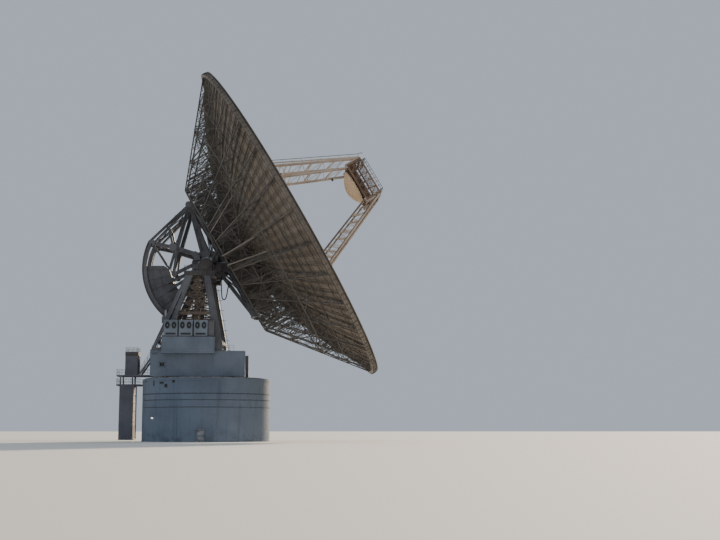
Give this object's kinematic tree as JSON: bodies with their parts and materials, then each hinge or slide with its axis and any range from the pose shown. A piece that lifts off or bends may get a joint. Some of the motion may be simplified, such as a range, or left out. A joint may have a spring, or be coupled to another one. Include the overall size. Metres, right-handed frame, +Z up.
{
  "type": "steerable radio telescope dish, 1:10 scale model",
  "caption": "Steerable radio telescope on a round pedestal: alidade with two towers, tipping frame with counterweights, ribbed dish, four-legged subreflector support.",
  "frame": {"origin": "on the azimuth axis at ground level, at the middle of the ground floor's underside", "axes": "+Z up along the azimuth axis, +X the way the dish looks at rest, +Y to the side away from the fan units, parallel to the elevation axis"},
  "size_m": [5.2726, 7, 7.4505],
  "materials": {
    "concrete": "painted concrete, pale grey-white with faint horizontal pour lines and water stains",
    "structure_paint": "white paint on welded steel box sections, lightly weathered, with rust at the joints",
    "backup_paint": "white paint on steel trusses, warm grey and dulled by dirt",
    "reflector_panel": "matte white paint on thin panels, joined in rings and sectors",
    "feed_paint": "cream-white satin paint",
    "housing_paint": "pale grey paint on sheet metal, with seams and louvres",
    "bearing_steel": "machined steel, oiled and dark",
    "cable_rubber": "matte black cable jacket"
  },
  "bodies": {
    "pedestal": {"ground_floor": "concrete", "pedestal_wall_1": "concrete", "pedestal_wall_2": "concrete", "pedestal_wall_3": "concrete", "pedestal_wall_4": "concrete", "pedestal_wall_5": "concrete", "pedestal_wall_6": "concrete", "pedestal_door": "housing_paint", "pedestal_roof": "concrete", "azimuth_bearing_ring": "bearing_steel"},
    "alidade": {"base_girder_near": "structure_paint", "base_girder_far": "structure_paint", "base_girder_front": "structure_paint", "base_girder_rear": "structure_paint", "alidade_deck": "structure_paint", "equipment_house": "housing_paint", "fan_unit_1": "housing_paint", "fan_unit_2": "housing_paint", "fan_unit_3": "housing_paint", "near_rear_leg": "structure_paint", "far_rear_leg": "structure_paint", "near_front_leg": "structure_paint", "far_front_leg": "structure_paint", "near_tower_tie": "structure_paint", "far_tower_tie": "structure_paint", "near_tower_head": "structure_paint", "far_tower_head": "structure_paint", "tower_cross_tie_rear": "structure_paint", "tower_cross_tie_front": "structure_paint", "upper_platform": "structure_paint", "upper_cabin": "housing_paint", "lower_platform": "structure_paint", "lower_cabin": "housing_paint", "cable_loop": "cable_rubber"},
    "dish": {"near_elevation_wheel": "structure_paint", "far_elevation_wheel": "structure_paint", "near_counterweight": "structure_paint", "far_counterweight": "structure_paint", "elevation_cross_girder": "structure_paint", "reflector_rear_frame": "structure_paint", "backup_frame_1": "backup_paint", "backup_frame_2": "backup_paint", "backup_frame_3": "backup_paint", "backup_frame_4": "backup_paint", "centre_hub": "backup_paint", "rim_ring": "backup_paint", "reflector": "reflector_panel", "feed_cones": "feed_paint", "feed_leg_1": "feed_paint", "feed_leg_2": "feed_paint", "feed_leg_3": "feed_paint", "feed_leg_4": "feed_paint", "apex_frame": "feed_paint", "subreflector": "feed_paint"}
  },
  "joints": [
    {"name": "azimuth", "type": "hinge", "parent": "pedestal", "child": "alidade", "pos_m": [0, 0, 0], "axis": [0, 0, 1], "range_deg": [-265, 265]},
    {"name": "elevation", "type": "hinge", "parent": "alidade", "child": "dish", "pos_m": [0, 0, 3.455], "axis": [0, -1, 0], "range_deg": [-22.4, 59.6]}
  ]
}
